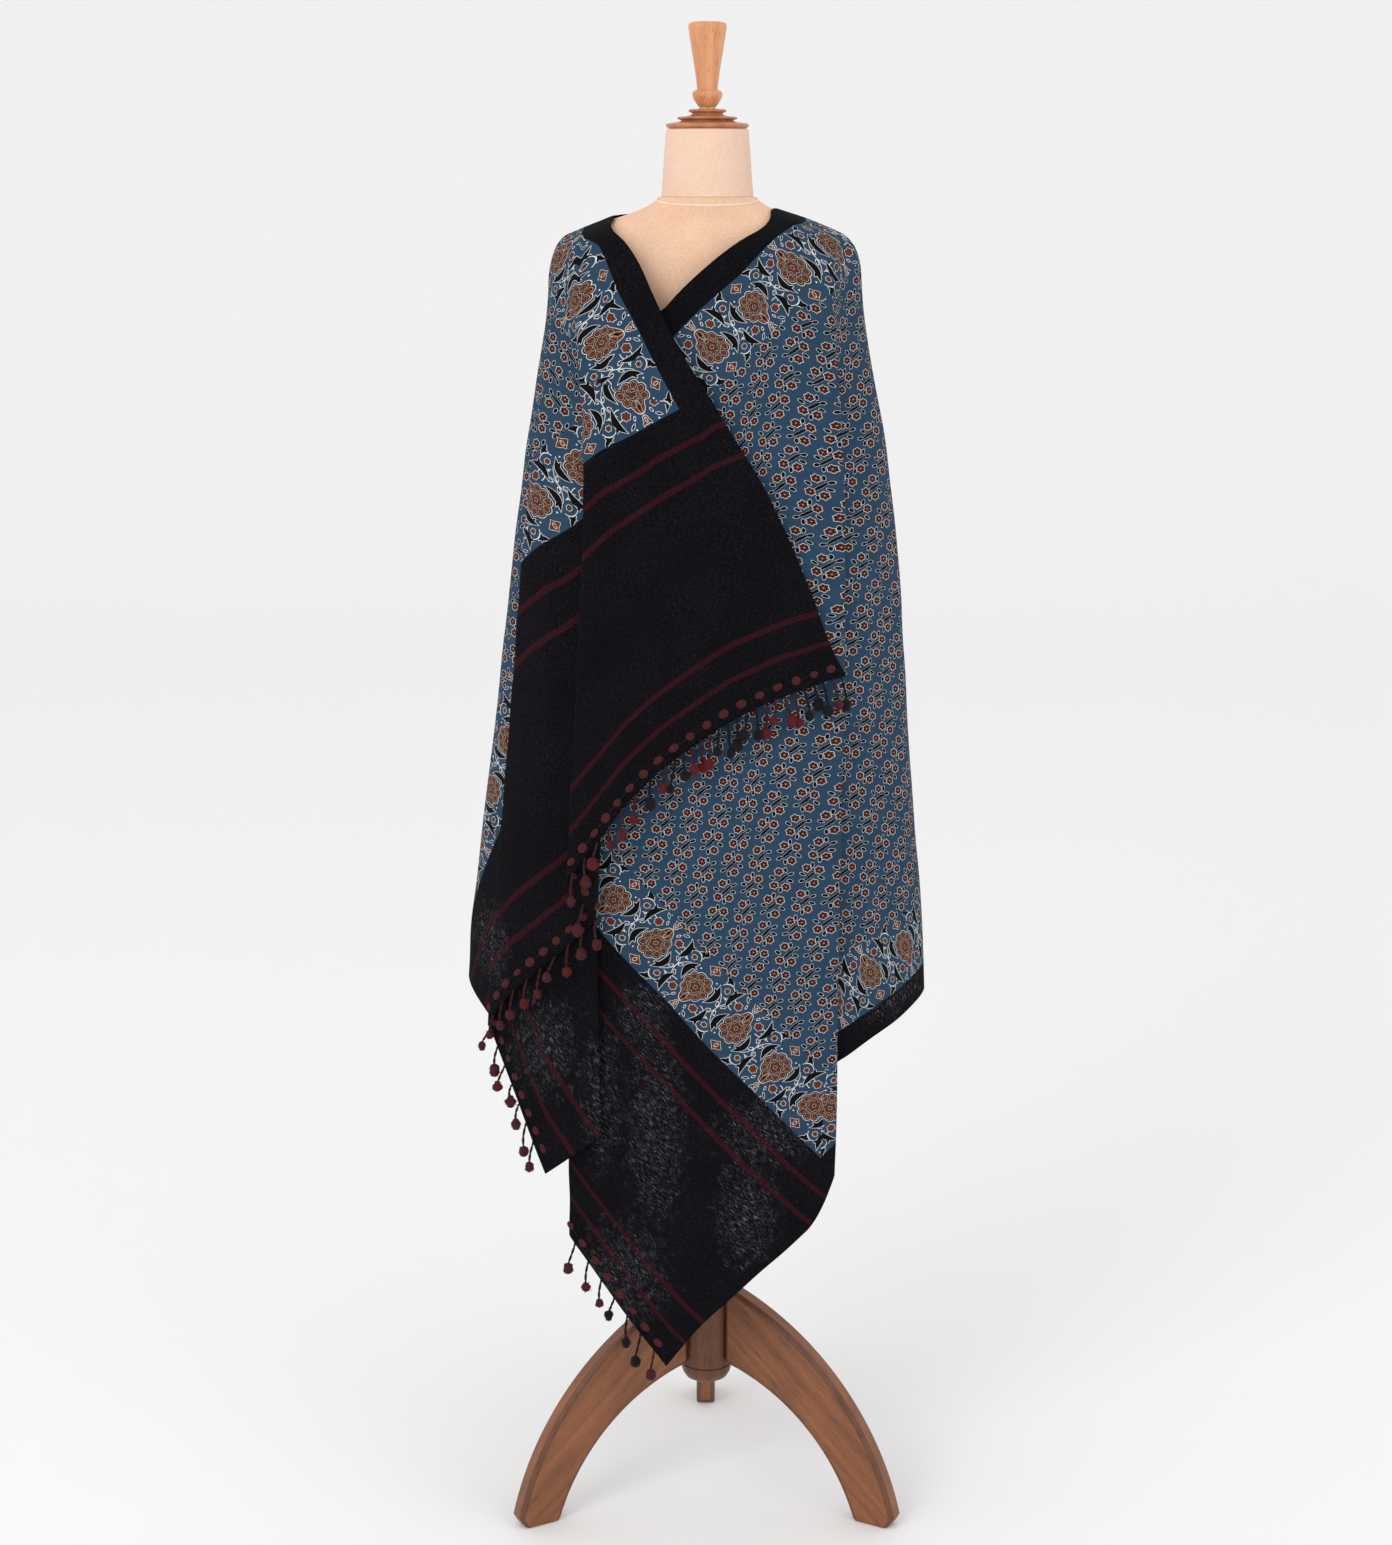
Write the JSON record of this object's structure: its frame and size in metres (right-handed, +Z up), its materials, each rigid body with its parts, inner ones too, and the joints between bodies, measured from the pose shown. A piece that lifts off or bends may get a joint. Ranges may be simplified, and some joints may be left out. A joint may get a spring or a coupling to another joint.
{
  "type": "dupatta on dress form",
  "caption": "Block printed cotton dupatta with black borders, end panels and tassels, draped crosswise over a limbless linen dress form on a wooden tripod.",
  "frame": {"origin": "on the floor, under the middle of the whole; the stand's pole stands 12 mm towards the viewer's right of it and 48 mm in front of it", "axes": "+Z up, -Y towards the viewer, +X to the viewer's right"},
  "size_m": [0.5446, 0.4297, 1.751],
  "materials": {
    "print": "indigo dyed cotton, block printed on its face, matt",
    "border": "black plain woven cotton, matt",
    "end_panel": "black handwoven cotton with maroon stripes and grey slubs, matt",
    "tassel": "maroon and black wool threads and pompoms",
    "linen": "beige linen cover stretched over the form",
    "walnut": "oiled brown hardwood",
    "cap_wood": "turned red brown wood, satin",
    "finial_wood": "turned light orange brown wood, satin",
    "brass": "plain washer"
  },
  "bodies": {
    "root": {"print_left": "print", "print_back": "print", "print_right": "print", "neck_border_left": "border", "neck_border_back": "border", "neck_border_right": "border", "hem_border_back": "border", "hem_border_right": "border", "end_panel_over": "end_panel", "end_panel_under": "end_panel", "tassels_over_front": "tassel", "tassels_over_fold": "tassel", "tassels_over_foot": "tassel", "tassels_under": "tassel", "form_torso": "linen", "form_neck": "linen", "neck_cap": "cap_wood", "washer": "brass", "finial": "finial_wood", "pole": "walnut", "hub": "walnut", "leg_left": "walnut", "leg_right": "walnut", "leg_back": "walnut"}
  },
  "joints": []
}
